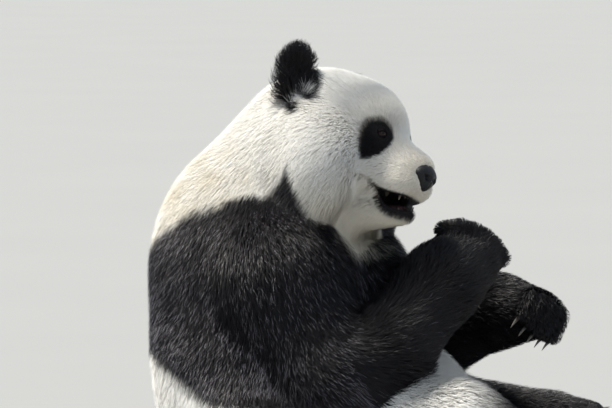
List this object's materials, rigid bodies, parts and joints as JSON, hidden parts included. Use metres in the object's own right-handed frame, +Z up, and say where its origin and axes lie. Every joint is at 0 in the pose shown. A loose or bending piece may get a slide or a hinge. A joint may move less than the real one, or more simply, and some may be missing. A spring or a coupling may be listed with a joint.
{
  "type": "giant panda",
  "caption": "Life-size still model of a giant panda sitting on its rump, hind legs stretched forward and forepaws raised to the mouth.",
  "frame": {"origin": "on the floor, in the flat under the rump", "axes": "+X the way the body faces, +Y the animal's left, +Z up"},
  "size_m": [1.0277, 0.6823, 0.9736],
  "materials": {
    "white_fur": "dense cream-white coat, matt, a little yellowed on the neck and back",
    "black_fur": "coarse black coat with a faint brown sheen and pale glints",
    "eye": "wet dark brown eye, glossy",
    "nose": "damp black nose leather, finely pebbled",
    "claw": "worn grey-brown horn, satin",
    "tongue": "damp dull pink, finely bumped"
  },
  "bodies": {
    "root": {"ear_left": "black_fur", "ear_right": "black_fur", "eye_left": "eye", "eye_right": "eye", "fore_claw_left_1": "claw", "fore_claw_left_2": "claw", "fore_claw_left_3": "claw", "fore_claw_left_4": "claw", "fore_claw_left_5": "claw", "fore_claw_right_1": "claw", "fore_claw_right_2": "claw", "fore_claw_right_3": "claw", "fore_claw_right_4": "claw", "fore_claw_right_5": "claw", "forearm_left": "black_fur", "forearm_right": "black_fur", "forepaw_left": "black_fur", "forepaw_right": "black_fur", "head": "white_fur", "hind_claw_left_1": "claw", "hind_claw_left_2": "claw", "hind_claw_left_3": "claw", "hind_claw_left_4": "claw", "hind_claw_left_5": "claw", "hind_claw_right_1": "claw", "hind_claw_right_2": "claw", "hind_claw_right_3": "claw", "hind_claw_right_4": "claw", "hind_claw_right_5": "claw", "hind_foot_left": "black_fur", "hind_foot_right": "black_fur", "lower_jaw": "white_fur", "neck": "white_fur", "nose_pad": "nose", "shank_left": "black_fur", "shank_right": "black_fur", "tail": "white_fur", "thigh_left": "white_fur", "thigh_right": "white_fur", "tongue": "tongue", "trunk": "white_fur", "upper_arm_left": "black_fur", "upper_arm_right": "black_fur"}
  },
  "joints": []
}
